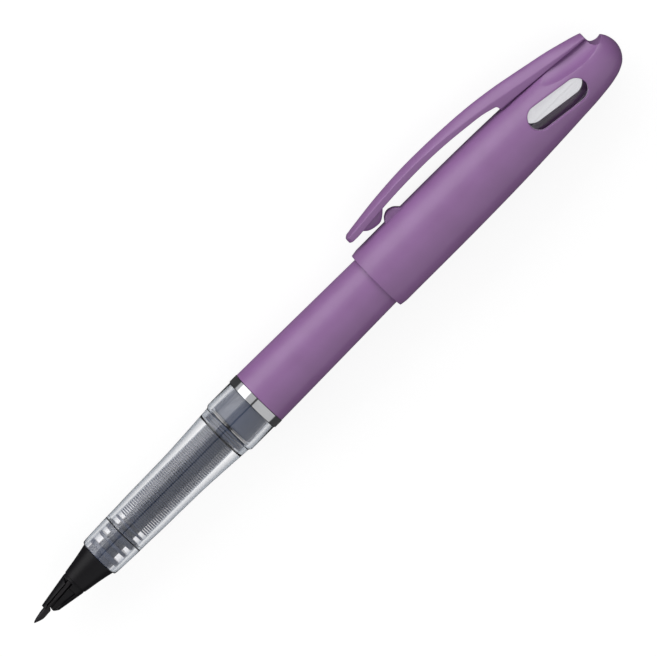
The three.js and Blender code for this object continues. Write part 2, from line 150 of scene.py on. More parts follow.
def moulded(name, dark, light, roughness, grain, depth, stretch=1, **constants):
    """An injection-moulded plastic. The steel of the mould leaves a fine grain, `grain` mm across and
    `depth` mm deep, drawn out `stretch` times along the pen, and a slow drift of tone and gloss."""
    material = bpy.data.materials.new(name)
    material.use_nodes = True
    tree = material.node_tree
    shader = tree.nodes["Principled BSDF"]
    for socket, value in constants.items():
        shader.inputs[socket.replace("_", " ")].default_value = value
    place = add(tree, "ShaderNodeTexCoord", {})
    drawn_out = {"Scale": (1 / stretch, 1, 1)}
    along = add(tree, "ShaderNodeMapping", drawn_out, {"Vector": place.outputs["Object"]})
    broad = {"name": "drift", "Scale": 1 / (DRIFT_ACROSS * MM), "Detail": 2.0}
    drift = add(tree, "ShaderNodeTexNoise", broad, {"Vector": along.outputs[0]})
    steel = {"Scale": 1 / (grain * MM), "Detail": 3.0}
    fine = add(tree, "ShaderNodeTexNoise", steel, {"Vector": along.outputs[0]})
    tone = add(tree, "ShaderNodeValToRGB", {"name": "tone"}, {"Fac": drift.outputs["Fac"]})
    tone.color_ramp.elements[0].position = 0.3
    tone.color_ramp.elements[0].color = linear(dark)
    tone.color_ramp.elements[1].position = 0.7
    tone.color_ramp.elements[1].color = linear(light)
    gloss = add(
        tree,
        "ShaderNodeMapRange",
        {"To Min": roughness * 0.9, "To Max": roughness * 1.1},
        {"Value": fine.outputs["Fac"]},
    )
    rise = {"Strength": 0.6, "Distance": depth * MM}
    relief = add(tree, "ShaderNodeBump", rise, {"Height": fine.outputs["Fac"]})
    tree.links.new(tone.outputs["Color"], shader.inputs["Base Color"])
    tree.links.new(gloss.outputs["Result"], shader.inputs["Roughness"])
    tree.links.new(relief.outputs["Normal"], shader.inputs["Normal"])
    return material


# Satin nylon: nearly black, with a broad dull shine along the edges.
black_nylon = moulded(
    "black_nylon_satin", "#171518", "#201d21", 0.45, 0.12, 0.004, IOR=1.53, Specular_IOR_Level=0.25
)

TONGUE_END = 10.8
STEM_RADIUS = 0.4


def tongue_line(x):
    """Height of the tongue's middle, which climbs 5.3 degrees from the axis. The bare front part, before
    the jaws, sits a little lower."""
    dip = 0.2 * np.clip((x - 0.3) / 1.5, 0, 1) * np.clip((4.4 - x) / 0.35, 0, 1)
    return np.minimum(x, TONGUE_END) * math.tan(math.radians(5.3)) - dip


def rounded_bars(rows, columns):
    """Superellipse sections on the tongue's line, from rows of station, half thickness, half width and
    power: power 2 is an ellipse, and higher powers square it up."""
    x, thick, wide, power = (rows[:, k : k + 1] for k in range(4))
    angle = np.linspace(0, 2 * np.pi, columns, endpoint=False)
    up, out = np.sin(angle), np.cos(angle)
    y = tongue_line(x) + thick * np.sign(up) * np.abs(up) ** (2 / power)
    z = wide * np.sign(out) * np.abs(out) ** (2 / power)
    return np.stack(np.broadcast_arrays(x, y, z), axis=-1)


tongue = through(
    [
        [0, 0, 0, 2],
        [0.12, 0.14, 0.12, 2],
        [0.5, 0.28, 0.36, 2.1],
        [1.2, 0.5, 0.6, 2.4],
        [2.2, 0.69, 0.74, 2.8],
        [3.3, 0.7, 0.86, 3.2],
        [4.0, 0.69, 0.93, 3.8],
        [4.35, 0.49, 0.98, 4],
        [7.5, 0.475, 1.42, 5],
        [TONGUE_END - 0.06, 0.475, 1.9, 6],
    ],
    90,
)
stem_end = span("nib")[1]
back = [
    [TONGUE_END, 0.43, 1.84, 6],
    [TONGUE_END, STEM_RADIUS, STEM_RADIUS, 2],
    [stem_end, STEM_RADIUS, STEM_RADIUS, 2],
    [stem_end, 0, 0, 2],
]
nib = surface("nib_tongue", rounded_bars(np.vstack([tongue, back]), 64))
nib.data.materials.append(black_nylon)
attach(nib, "front")
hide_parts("nib")


# ---- Nib holder ----
# One black acetal moulding: a flared cone with a neck behind it, and in front two jaws that close on the
# tongue from above and below. The lower jaw starts further back and has a shallow pocket in each side.

JAW_START = span("nib_holder")[0]
JAW_END = 10.95
SLOT_HALF = 0.6
holder_end = span("nib_holder")[1] - 1.7


def jaw_radius(x):
    """The jaws lie in a narrow cone."""
    return 1.38 + 0.17 * (x - JAW_START)


def smooth_max(a, b, blend):
    """The greater of two heights, with the corner between them rounded over about `blend`."""
    return (a + b + np.sqrt((a - b) ** 2 + blend**2)) / 2


def ease(x, start, end):
    """A soft step from 0 before start to 1 after end."""
    t = np.clip((x - start) / (end - start), 0, 1)
    return t * t * (3 - 2 * t)


def jaw(start, side):
    """A D-shaped bar: the circle of the jaw cone, cut flat where the slot for the tongue is. `side` is 1
    above the tongue and -1 below it. Both ends close, and the front edge is rounded."""
    nose = [start, start, start + 0.03, start + 0.1]
    x = np.concatenate([nose, np.linspace(start + 0.16, JAW_END, 90), [JAW_END]])
    grow = np.concatenate([[0, 0.94, 0.985], np.ones(len(x) - 4), [0]])[:, None]
    x = x[:, None]
    angle = np.linspace(0, 2 * np.pi, 96, endpoint=False)
    radius = jaw_radius(x)
    flat = side * tongue_line(x) + SLOT_HALF
    y = smooth_max(radius * np.sin(angle), flat, 0.12)
    inside = np.sqrt(np.maximum(radius**2 - y**2, 0))
    z = np.sign(np.cos(angle)) * np.minimum(radius * np.abs(np.cos(angle)), inside)
    middle = (radius + flat) / 2
    y = middle + (y - middle) * grow
    return np.broadcast_to(x, y.shape), side * y, z * grow


x, y, z = jaw(JAW_START, 1)
notch_face = 9.9 + 0.7 * (y - 1.5)
notch = ease(x, notch_face, notch_face + 0.1)
upper_jaw = np.stack([x, y, z * (1 - 0.5 * notch)], axis=-1)

LOWER_START = JAW_START + 0.9
x, y, z = jaw(LOWER_START, -1)
x = np.maximum(x, LOWER_START + 1.1 * np.maximum(-0.8 - y, 0))
pocket_floor = -1.0 - 0.12 * (x - LOWER_START - 1)
pocket = ease(y, pocket_floor, pocket_floor + 0.1) * (1 - ease(x, 9.75, 9.85))
lower_jaw = np.stack([x, y, z * (1 - 0.22 * pocket)], axis=-1)


def softened(corners, size, steps):
    """Closed outlines of corners, (..., corners, 2). Each corner gives way to a quadratic arc that leaves
    and meets its two sides `size` away from it, or nearly halfway along the shorter side."""
    before = np.roll(corners, 1, axis=-2) - corners
    after = np.roll(corners, -1, axis=-2) - corners
    before_length = np.linalg.norm(before, axis=-1, keepdims=True)
    after_length = np.linalg.norm(after, axis=-1, keepdims=True)
    size = np.minimum(size, 0.49 * np.minimum(before_length, after_length))
    start = (corners + before / before_length * size)[..., None, :]
    end = (corners + after / after_length * size)[..., None, :]
    t = np.linspace(0, 1, steps)[:, None]
    arcs = (1 - t) ** 2 * start + 2 * t * (1 - t) * corners[..., None, :] + t**2 * end
    return arcs.reshape(*corners.shape[:-2], -1, 2)


def rounded(corners, steps=5, loop=False):
    """An outline from [station, radius, rounding] corners, whose two ends stay sharp without loop."""
    rows = np.array(corners, float)
    if not loop:
        rows[[0, -1], 2] = 0
    return softened(rows[:, :2], rows[:, 2:], steps)


def lathe(x, radius, columns=128):
    """Points of a surface turned about the pen's axis. Radius is one number per station, or one per
    station and angle, and the angle runs from the clip's side to the top."""
    angle = np.linspace(0, 2 * np.pi, columns, endpoint=False)
    x, radius = np.reshape(x, (-1, 1)), np.reshape(radius, (len(x), -1))
    return np.stack(np.broadcast_arrays(x, radius * np.cos(angle), radius * np.sin(angle)), axis=-1)


NECK_RADIUS = 2.3
NECK_LENGTH = 1.3
base_radius = widest("nib_holder")
cone = rounded(
    [
        [JAW_END - 0.15, 0, 0],
        [JAW_END - 0.15, 2.58, 0.08],
        [11.05, 2.62, 0.02],
        [11.08, 2.58, 0.02],
        [11.2, 2.58, 0.02],
        [11.23, 2.64, 0.02],
        [11.38, 2.66, 0.04],
        [11.43, 2.76, 0.04],
        [12.7, 2.95, 0.6],
        [14.7, 3.28, 0.9],
        [16.6, base_radius - 0.29, 0.6],
        [holder_end, base_radius, 0.1],
        [holder_end, NECK_RADIUS, 0.1],
        [holder_end + NECK_LENGTH, NECK_RADIUS, 0.1],
        [holder_end + NECK_LENGTH, 0, 0],
    ]
)
# Satin acetal: as dark as the nib, a little glossier, so that the cone shows one soft streak.
black_acetal = moulded(
    "black_acetal_satin", "#0f0e11", "#161519", 0.4, 0.15, 0.004, IOR=1.48, Specular_IOR_Level=0.2
)
holder = surface("nib_holder_jaws_and_cone", upper_jaw, lower_jaw, lathe(*cone.T, 96))
holder.data.materials.append(black_acetal)
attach(holder, "front")
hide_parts("nib_holder")


# ---- Feed rod ----
# A rod of pressed fibre that carries ink from the tank to the nib. It slides through the bore of the comb
# and touches the stem of the nib.

feed_start, feed_end = span("feed_rod")
feed_radius = 0.7
rod = rounded(
    [[feed_start, 0, 0], [feed_start, feed_radius, 0.1], [feed_end, feed_radius, 0.1], [feed_end, 0, 0]]
)
# Pressed polyester fibre: matt and dark with ink, its strands drawn out along the rod.
inked_fibre = moulded("inked_fibre_pressed", "#232328", "#3a3a42", 0.9, 0.15, 0.03, stretch=12, IOR=1.5)
feed = surface("feed_rod_of_fibre", lathe(*rod.T, 48))
feed.data.materials.append(inked_fibre)
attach(feed, "front")
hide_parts("feed_rod")


# ---- Comb ----
# The ink comb, moulded in smoke grey plastic: a hub round the neck of the nib's holder, a bored core with
# spaced discs, a run of thin fins that hold surplus ink, and three larger discs that seat in the back of
# the sleeve.

FIN_PITCH = 0.49
FIN_THICKNESS = 0.28
fin_radius = 3.6
core_radius = 2.08
comb_end = span("collector")[1]
disc_radius = widest("collector")
discs = [[19.25, 1.0], [21.7, 0.7], [23.55, 1.95], [26.4, 0.5]]
fins_start = 27.75
fins_end = comb_end - 2.4
discs += [[x, FIN_THICKNESS] for x in np.arange(fins_start, fins_end, FIN_PITCH)]
discs = [[*disc, fin_radius] for disc in discs]
seats = [[2.1, 0.5], [1.45, 0.45], [0.8, 0.8]]
discs += [[comb_end - back, thick, disc_radius] for back, thick in seats]
corners = [
    corner
    for start, thick, radius in discs
    for corner in (
        [start, core_radius, 0.02],
        [start, radius, 0.03],
        [start + thick, radius, 0.03],
        [start + thick, core_radius, 0.02],
    )
]
bore = feed_radius + 0.1
face = discs[0][0]
hub_bore = NECK_RADIUS + 0.1
HUB_RADIUS = 3.0
hub = [
    [face, bore, 0.05],
    [face, hub_bore, 0.05],
    [holder_end + 0.1, hub_bore, 0.05],
    [holder_end + 0.1, HUB_RADIUS, 0.08],
    [face, HUB_RADIUS, 0.05],
]
comb_line = rounded([*hub, *corners[1:-1], [comb_end, bore, 0.05]], 2, loop=True)
# Smoke grey polystyrene: dark and bluish, glossy on the rims of the fins.
smoke_styrene = moulded("smoke_grey_styrene", "#3b4459", "#475066", 0.2, 0.3, 0.001, IOR=1.59)
comb = surface("ink_comb", lathe(*comb_line.T, 96), loop=True)
comb.data.materials.append(smoke_styrene)
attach(comb, "front")
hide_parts("collector")


# ---- Front collar ----
# A short collar of clear polycarbonate that holds the nib's holder. Its spigot is pushed into the grip
# sleeve, and the parting between the two shows as a dark line.

collar_start, collar_spigot = span("front_collar")
collar_end = collar_spigot - 1.3
SPIGOT = 0.5
PARTING_WIDTH = 0.11
collar_radius = 4.45
sleeve_front_radius = 4.68
bore_radius = 3.75
collar_line = rounded(
    [
        [collar_start, bore_radius, 0.1],
        [collar_start, collar_radius - 0.1, 0.5],
        [collar_start + 0.9, collar_radius + 0.02, 0.4],
        [collar_start + 4.5, collar_radius + 0.16, 0.8],
        [collar_end - PARTING_WIDTH / 2, sleeve_front_radius, 0.06],
        [collar_end - PARTING_WIDTH / 2, bore_radius + 0.25, 0.02],
        [collar_end + SPIGOT, bore_radius + 0.25, 0.04],
        [collar_end + SPIGOT, bore_radius, 0.04],
    ],
    loop=True,
)
# Clear polycarbonate: colourless and glossy. Its wall is painted greyer where it is seen at a grazing
# angle, as painted shade for the dim surroundings seen through it, and this greying takes the place of the
# drift of tone.
clear_plastic = moulded(
    "clear_polycarbonate_gloss", "#f3f3f5", "#868e99", 0.02, 2.0, 0.001, Transmission_Weight=1.0, IOR=1.49
)
tree = clear_plastic.node_tree
# Painted shade: how squarely the wall faces the view sets its colour, clear face on and grey at a grazing
# angle.
slant_painted_shade = add(tree, "ShaderNodeLayerWeight", {"Blend": 0.5})
tree.nodes["tone"].color_ramp.elements[1].position = 0.6
tree.links.new(slant_painted_shade.outputs["Facing"], tree.nodes["tone"].inputs["Fac"])
tree.nodes.remove(tree.nodes["drift"])


def let_light_in(piece):
    """Keeps a clear piece from throwing a solid shadow on what is inside it."""
    piece.visible_shadow = False
    piece.visible_diffuse = False


collar = surface("front_collar_clear", lathe(*collar_line.T), loop=True)
collar.data.materials.append(clear_plastic)
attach(collar, "front")
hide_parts("front_collar")
let_light_in(collar)

# A thin black ring fills the parting between the collar and the sleeve, so that it shows as a dark line.
parting_ring_line = rounded(
    [
        [collar_end - PARTING_WIDTH / 2, bore_radius + 0.3, 0.02],
        [collar_end - PARTING_WIDTH / 2, sleeve_front_radius - 0.02, 0.03],
        [collar_end + 0.1 + PARTING_WIDTH / 2, sleeve_front_radius - 0.02, 0.03],
        [collar_end + 0.1 + PARTING_WIDTH / 2, bore_radius + 0.3, 0.02],
    ],
    loop=True,
)
parting_ring = surface("collar_parting_ring", lathe(*parting_ring_line.T), loop=True)
parting_ring.data.materials.append(black_acetal)
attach(parting_ring, "front")


# ---- Grip sleeve ----
# The clear sleeve that the fingers hold: waisted at the front, swelling backwards, and stepped up to the
# rear collar that the cap's mouth slides over.

sleeve_start, sleeve_end = span("grip_sleeve")
REAR_COLLAR = 6.2
rear_start = sleeve_end - REAR_COLLAR
rear_radius = widest("grip_sleeve")
rear_bore = rear_radius - 1.06
GRIP_STEP = 0.38
swell = rear_radius - GRIP_STEP - sleeve_front_radius
grip_start = sleeve_start + PARTING_WIDTH / 2
grip_length = rear_start - sleeve_start - 0.6
shape_of_grip = [[0, 0], [0.08, 0.03], [0.19, 0.14], [0.39, 0.23], [0.6, 0.36], [0.8, 0.65], [1, 1]]
waist = through(
    [
        [grip_start + share * grip_length, sleeve_front_radius + rise * swell]
        for share, rise in shape_of_grip
    ],
    120,
)
sleeve_back = rounded(
    [
        [*waist[-1], 0],
        [rear_start - 0.35, rear_radius - 0.3, 0.15],
        [rear_start, rear_radius, 0.2],
        [sleeve_end, rear_radius, 0.12],
        [sleeve_end, rear_bore, 0.08],
        [rear_start - 2.6, rear_bore, 0.5],
        [rear_start - 2.6, bore_radius, 0.1],
        [sleeve_start + SPIGOT + 0.02, bore_radius, 0.02],
        [sleeve_start + SPIGOT + 0.02, bore_radius + 0.28, 0.02],
        [sleeve_start + PARTING_WIDTH / 2, bore_radius + 0.28, 0],
    ]
)
sleeve_line = np.vstack([waist, sleeve_back])
sleeve = surface("grip_sleeve_clear", lathe(*sleeve_line.T), loop=True)
sleeve.data.materials.append(clear_plastic)
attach(sleeve, "front")
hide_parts("grip_sleeve")
let_light_in(sleeve)


# ---- Connector ----
# A dark bush glued in the rear collar. Its neck passes through the bright ring and ends in the thread
# that screws into the barrel.

THREAD_PITCH = 1.5
THREAD_DEPTH = 0.4
THREAD_INSET = 0.85
RING_PROUD = 0.08
plug_start, thread_end = span("connector")
thread_start = thread_end - 3 * THREAD_PITCH
barrel_radius = widest("trim_ring") - RING_PROUD
thread_root = barrel_radius - THREAD_INSET - THREAD_DEPTH
tank_bore = thread_root - 0.9
plug_radius = rear_bore - 0.1


def thread_rise(x, columns, depth):
    """Height of a right-hand thread above its root: a flat-topped ridge that winds once a pitch."""
    turn = np.arange(columns) / columns
    phase = ((x[:, None] - thread_start) / THREAD_PITCH - turn) % 1
    return depth * np.clip(1.5 - 4 * np.abs(phase - 0.5), 0, 1)


shoulder = sleeve_end - 0.3
outside = rounded(
    [
        [plug_start, 1.4, 0],
        [plug_start, plug_radius, 0.7],
        [shoulder, plug_radius - 0.3, 0.1],
        [shoulder + 0.05, thread_root, 0.04],
        [thread_start + 0.3, thread_root, 0],
    ]
)
threaded = np.linspace(thread_start + 0.32, thread_end - 0.05, 80)
inside = rounded(
    [
        [thread_end, thread_root - 0.1, 0],
        [thread_end, tank_bore, 0.08],
        [plug_start + 1, tank_bore, 0.1],
        [plug_start + 1, 1.4, 0],
    ]
)
run_in = ease(threaded, threaded[0], threaded[8])[:, None]
wound = thread_root + thread_rise(threaded, 96, THREAD_DEPTH) * run_in
# Smoke grey polystyrene again, moulded thick, so that it looks like one dark cylinder with a soft streak.
connector = surface(
    "threaded_connector",
    np.vstack([lathe(*outside.T, 96), lathe(threaded, wound, 96), lathe(*inside.T, 96)]),
    loop=True,
)
connector.data.materials.append(smoke_styrene)
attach(connector, "front")
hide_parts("connector")


# ---- Ink tank ----
# A thin blow-moulded tube of natural polypropylene, necked at the front where it plugs into the
# connector. It goes inside the barrel, so it shows only when the pen is taken apart.

tank_start, tank_end = span("ink_tank")
tank_radius = widest("ink_tank")
tank_step = thread_end + 0.4
TANK_WALL = 0.55
neck_radius = thread_root - 1
tank_line = rounded(
    [
        [tank_start, neck_radius - TANK_WALL, 0.05],
        [tank_start, neck_radius, 0.15],
        [tank_step, neck_radius, 0.15],
        [tank_step + 0.4, tank_radius, 0.15],
        [tank_end, tank_radius, 0.06],
        [tank_end, tank_radius - TANK_WALL, 0.06],
        [tank_step + 0.8, tank_radius - TANK_WALL, 0.15],
        [tank_step + 0.4, neck_radius - TANK_WALL, 0.15],
    ],
    loop=True,
)
# Natural polypropylene: milky and waxy, so that light goes through but no shape does.
natural_polypropylene = moulded(
    "natural_polypropylene", "#d3d6da", "#e6e8ea", 0.35, 0.4, 0.004, Transmission_Weight=0.5, IOR=1.49
)
tank = surface("ink_tank_tube", lathe(*tank_line.T, 96), loop=True)
tank.data.materials.append(natural_polypropylene)
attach(tank, "front")
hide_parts("ink_tank")


# ---- Tank plug ----
# The black stopper pressed into the back of the tank, with a flange that lies against its end.

plug_front, plug_back = span("tank_plug")
plug_fit = tank_radius - TANK_WALL - 0.05
stopper_line = rounded(
    [
        [plug_front, 0, 0],
        [plug_front, plug_fit - 0.2, 0.4],
        [plug_front + 0.5, plug_fit, 0.1],
        [tank_end + 0.05, plug_fit, 0.02],
        [tank_end + 0.05, tank_radius, 0.02],
        [plug_back, tank_radius, 0.25],
        [plug_back, 1.6, 0.1],
        [plug_back - 0.4, 1.4, 0.1],
        [plug_back - 0.4, 0, 0],
    ]
)
stopper = surface("tank_stopper", lathe(*stopper_line.T, 96))
stopper.data.materials.append(black_acetal)
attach(stopper, "front")
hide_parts("tank_plug")


# ---- Trim ring ----
# A loose turned ring of brass, chromium plated, held between the sleeve and the barrel. Its corners are
# broken and its face is polished.

ring_start, ring_end = span("trim_ring")
ring_radius = widest("trim_ring")
ring_bore = thread_root + 0.15
ring_line = rounded(
    [
        [ring_start, ring_bore, 0.05],
        [ring_start, ring_radius, 0.14],
        [ring_end, ring_radius, 0.14],
        [ring_end, ring_bore, 0.05],
    ],
    7,
    loop=True,
)
# Polished chromium plate: a mirror with only the faintest lines from turning, 0.05 mm apart, drawn at
# 0.2 mm so that they show.
chromium = moulded(
    "chromium_plate_polished", "#c2c3c6", "#cbccce", 0.09, 0.2, 0.0006, stretch=0.3, Metallic=1.0
)
ring = surface("trim_ring_chromed", lathe(*ring_line.T, 192), loop=True)
ring.data.materials.append(chromium)
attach(ring, "ring")
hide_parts("trim_ring")


# ---- Barrel ----
# The coloured body, a tapered ABS tube closed at the tail and threaded inside its front end. Its surface
# is eroded in the mould to a fine satin that spreads highlights into broad soft bands.

barrel_start, barrel_end = span("barrel")
BARREL_TAPER = 0.0139
BARREL_WALL = 0.95
THREAD_CLEARANCE = 0.22
tail_radius = barrel_radius - BARREL_TAPER * (barrel_end - barrel_start)
tail_floor = barrel_end - 1.4
barrel_outside = rounded(
    [
        [barrel_end, 0, 0],
        [barrel_end, tail_radius, 1.0],
        [(barrel_start + barrel_end) / 2, (barrel_radius + tail_radius) / 2, 0],
        [barrel_start, barrel_radius, 0.12],
        [barrel_start, thread_root + THREAD_CLEARANCE, 0],
    ],
    9,
)
thread_hole = np.linspace(barrel_start + 0.02, thread_end + 0.5, 90)
hole = thread_root + THREAD_CLEARANCE + thread_rise(thread_hole, 128, THREAD_DEPTH)
barrel_inside = rounded(
    [
        [thread_end + 0.6, thread_root + THREAD_DEPTH + THREAD_CLEARANCE, 0],
        [thread_end + 3, barrel_radius - BARREL_WALL, 0.3],
        [tail_floor, tail_radius - BARREL_WALL, 0.8],
        [tail_floor, 0, 0],
    ]
)
# Satin ABS in a muted mauve, spark-eroded grain of about 0.05 mm drawn at 0.22 mm so that it shows.
mauve_abs = moulded("mauve_abs_satin", "#8f6799", "#956ca0", 0.33, 0.22, 0.006, IOR=1.53)
barrel = surface(
    "barrel_tube",
    np.vstack(
        [
            lathe(*barrel_outside.T),
            lathe(thread_hole, hole),
            lathe(*barrel_inside.T),
        ]
    ),
)
barrel.data.materials.append(mauve_abs)
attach(barrel, "barrel")
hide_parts("barrel")


# ---- Inner cap ----
# The clear liner pressed into the top of the cap, which keeps the nib from drying when the cap is on the
# front. It shows through the cap's window.

liner_start, liner_end = span("inner_cap")
cap_start, cap_end = span("cap_shell")
LINER_WALL = 0.6
LINER_FIT = 0.05
CROWN_HOLLOW = 2.45
narrowing = [[8, 1.6], [11, 1.05], [14.5, 0.4]]
seat_radius = tail_radius + 0.08
liner_radius = seat_radius - LINER_FIT
liner_bends = [[cap_end - back, liner_radius - less, 0.8] for back, less in narrowing]
liner_line = rounded(
    [
        [liner_end, 0, 0],
        [liner_end, liner_radius - CROWN_HOLLOW, 0.4],
        *liner_bends,
        [liner_start, liner_radius, 0.15],
        [liner_start, liner_radius - LINER_WALL, 0.15],
        *[[x, r - LINER_WALL, size] for x, r, size in liner_bends[::-1]],
        [liner_end - LINER_WALL, liner_radius - CROWN_HOLLOW - LINER_WALL, 0.4],
        [liner_end - LINER_WALL, 0, 0],
    ]
)
liner = surface("inner_cap_liner", lathe(*liner_line.T, 96))
liner.data.materials.append(clear_plastic)
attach(liner, "cap")
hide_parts("inner_cap")
let_light_in(liner)


# ---- Cap ----
# The mauve ABS cap: a parallel tube that closes in a domed crown, hollowed beside the root of the clip
# and stepped behind it, with a slanted window through both sides and a small stop under the clip's tip.

CAP_WALL = 0.8
mouth_bore = rear_radius + 0.05
cap_radius = mouth_bore + CAP_WALL
WINDOW_RADIUS = 2.45
WINDOW_CENTRES = 8.8
WINDOW_SLANT = math.radians(-8.5)
window_middle = np.array([cap_end - 16.45, 0.15])

crown = [
    [42.6, 1],
    [30.9, 0.971],
    [23.1, 0.93],
    [15.3, 0.877],
    [9.4, 0.828],
    [5.5, 0.755],
    [3.5, 0.677],
    [1.6, 0.52],
    [0.5, 0.31],
]
dome = [[cap_end - back, cap_radius * share] for back, share in crown]
beyond = [[x, -r] for x, r in dome[:-3:-1]]
outer = through([[cap_start + 1.6, cap_radius], *dome, [cap_end, 0], *beyond], 330)
outer = outer[: np.argmax(outer[:, 1] < 0.25)]
outer = np.vstack([outer, [[cap_end, 0]]])
lip = rounded(
    [
        [cap_start + 2, mouth_bore, 0],
        [cap_start, mouth_bore, 0.12],
        [cap_start, cap_radius - 0.22, 0.15],
        [cap_start + 1.5, cap_radius, 0.2],
        [cap_start + 1.6, cap_radius, 0],
    ]
)
cap_hollow = rounded(
    [
        [cap_end - 4.7, 0, 0],
        [cap_end - 4.7, seat_radius - CROWN_HOLLOW, 0.3],
        *[[cap_end - back, seat_radius - less, 0.8] for back, less in narrowing],
        [cap_start + 26, seat_radius + BARREL_TAPER * (barrel_end - cap_start - 26), 0.8],
        [cap_start + 14, mouth_bore, 0.8],
        [cap_start + 8, mouth_bore, 0],
    ]
)


def first_hit(x, angle, centre, radii, tilt):
    """How far a line from the axis goes, at each station and angle, before it meets an ellipsoid that is
    tilted about Z: the smaller root of the quadratic, or far away where it misses."""
    direction = np.stack(np.broadcast_arrays(0 * x, np.cos(angle), np.sin(angle)), axis=-1)
    start = np.stack(np.broadcast_arrays(x, 0 * x, 0 * x), axis=-1) - centre
    turn = np.array(Matrix.Rotation(-tilt, 3, "Z")) / np.array(radii)[:, None]
    start, direction = start @ turn.T, direction @ turn.T
    a = (direction**2).sum(-1)
    b = (start * direction).sum(-1)
    c = (start**2).sum(-1) - 1
    inside = b * b - a * c
    return np.where((inside > 0) & (b < 0), (-b - np.sqrt(np.maximum(inside, 0))) / a, 1e3)


COLUMNS = 192
angle = np.linspace(0, 2 * np.pi, COLUMNS, endpoint=False)[None]
x, radius = outer[:, :1], outer[:, 1:]
SCOOP_SIZE = [13.5, 4.7, 5.3]
SCOOP_TILT = math.radians(-6)
LEAST_WALL = 0.3
hollow_x, hollow_radius = cap_hollow[:0:-1].T
thinnest = np.interp(x, hollow_x, hollow_radius, right=0) + LEAST_WALL
for way in (1, -1):
    centre = [cap_end - 7.2, cap_radius - 0.2, way * 6.3]
    scoop = first_hit(x, angle, centre, SCOOP_SIZE, SCOOP_TILT)
    scoop = np.maximum(scoop, thinnest)
    radius = -smooth_max(-radius, -scoop, 0.08)
# The step behind the clip's root is a round groove across the crown.
step_radius = 1.45
step_x = cap_end - 2.3
step_y = cap_radius * 0.57
floor_y = step_y - np.sqrt(np.maximum(step_radius**2 - (x - step_x) ** 2, 0))
facing = np.cos(angle)
in_step = (np.abs(x - step_x) < step_radius) & (facing > 0.05)
notched = np.where(in_step, floor_y / np.maximum(facing, 0.05), 1e3)
radius = np.maximum(np.minimum(radius, notched), 0)
cap_skin = np.vstack(
    [
        lathe(*cap_hollow.T, COLUMNS),
        lathe(*lip.T, COLUMNS),
        lathe(outer[:, 0], radius, COLUMNS),
    ]
)


def slot_loop(offset, height):
    """The window's outline, a slanted stadium grown by offset, carried to a height above the cap's side."""
    turn = np.linspace(0, 2 * np.pi, 120, endpoint=False)
    half = np.sign(np.cos(turn)) * WINDOW_CENTRES / 2
    reach = WINDOW_RADIUS + offset
    flat = np.stack([half + reach * np.cos(turn), reach * np.sin(turn)], axis=-1)
    c, s = math.cos(WINDOW_SLANT), math.sin(WINDOW_SLANT)
    x, y = (flat @ np.array([[c, s], [-s, c]]) + window_middle).T
    side = np.interp(x, outer[:, 0], outer[:, 1])
    return np.stack([x, y, np.sqrt(side**2 - y**2) + height], axis=-1)


def slot_cutter():
    """A solid that cuts the window through both sides and rounds its rims."""
    steps = [[0.35, 2], [0.35, 0.05], [0.16, -0.04], [0.05, -0.14], [0, -0.3]]
    top = np.stack([slot_loop(offset, height) for offset, height in steps])
    bottom = top[::-1] * [1, 1, -1]
    first = np.broadcast_to(top[:1].mean(axis=1, keepdims=True), top[:1].shape)
    return np.vstack([first, top, bottom, first * [1, 1, -1]])


def carve(piece, cutter, operation):
    """Cuts one closed solid with another, or joins them, and keeps the result as the piece's own mesh."""
    cut = piece.modifiers.new(operation, "BOOLEAN")
    cut.operation = operation
    cut.solver = "EXACT"
    cut.object = cutter
    bpy.context.view_layer.update()
    done = piece.evaluated_get(bpy.context.evaluated_depsgraph_get())
    piece.data = bpy.data.meshes.new_from_object(done)
    piece.modifiers.clear()
    bpy.data.objects.remove(cutter)
    piece.data.shade_smooth()
    piece.data.set_sharp_from_angle(angle=SHARP_EDGE)


def bump_skin(profile, foot, half_width):
    """A rounded bump along the pen from [station, height] rows: each section is a flattened arch between
    the foot height and the row's height."""
    rows = through(profile, 40)
    across = np.linspace(-1, 1, 25)
    x, top = rows[:, :1], rows[:, 1:]
    y = foot + (top - foot) * (1 - np.abs(across) ** 6)
    arch = np.stack(np.broadcast_arrays(x, y, half_width * across), axis=-1)
    sunk = foot + 0 * y - 0.3 * np.sign(top - foot)
    sole = np.stack(np.broadcast_arrays(x, sunk, half_width * across), axis=-1)
    return np.hstack([arch, sole[:, ::-1]])


cap = surface("cap_shell_with_window", cap_skin)
carve(cap, surface("window_cutter", slot_cutter()), "DIFFERENCE")
cap.data.materials.append(mauve_abs)
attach(cap, "cap")
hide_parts("cap_shell")


# ---- Clip ----
# The springy clip is moulded in one with the cap: it grows out of the crown as a ridge, rises over the
# cap and ends in a rounded tip, with a bump below it that grips a pocket.

CLIP_HALF = 2.5
ROOT = cap_end - 25.2
tip = span("clip")[0]


def closed_end(ring, at):
    """A row of one point that closes a tube, in the middle of a ring of points."""
    return np.broadcast_to(ring[at].mean(axis=0), ring[at].shape)[None]


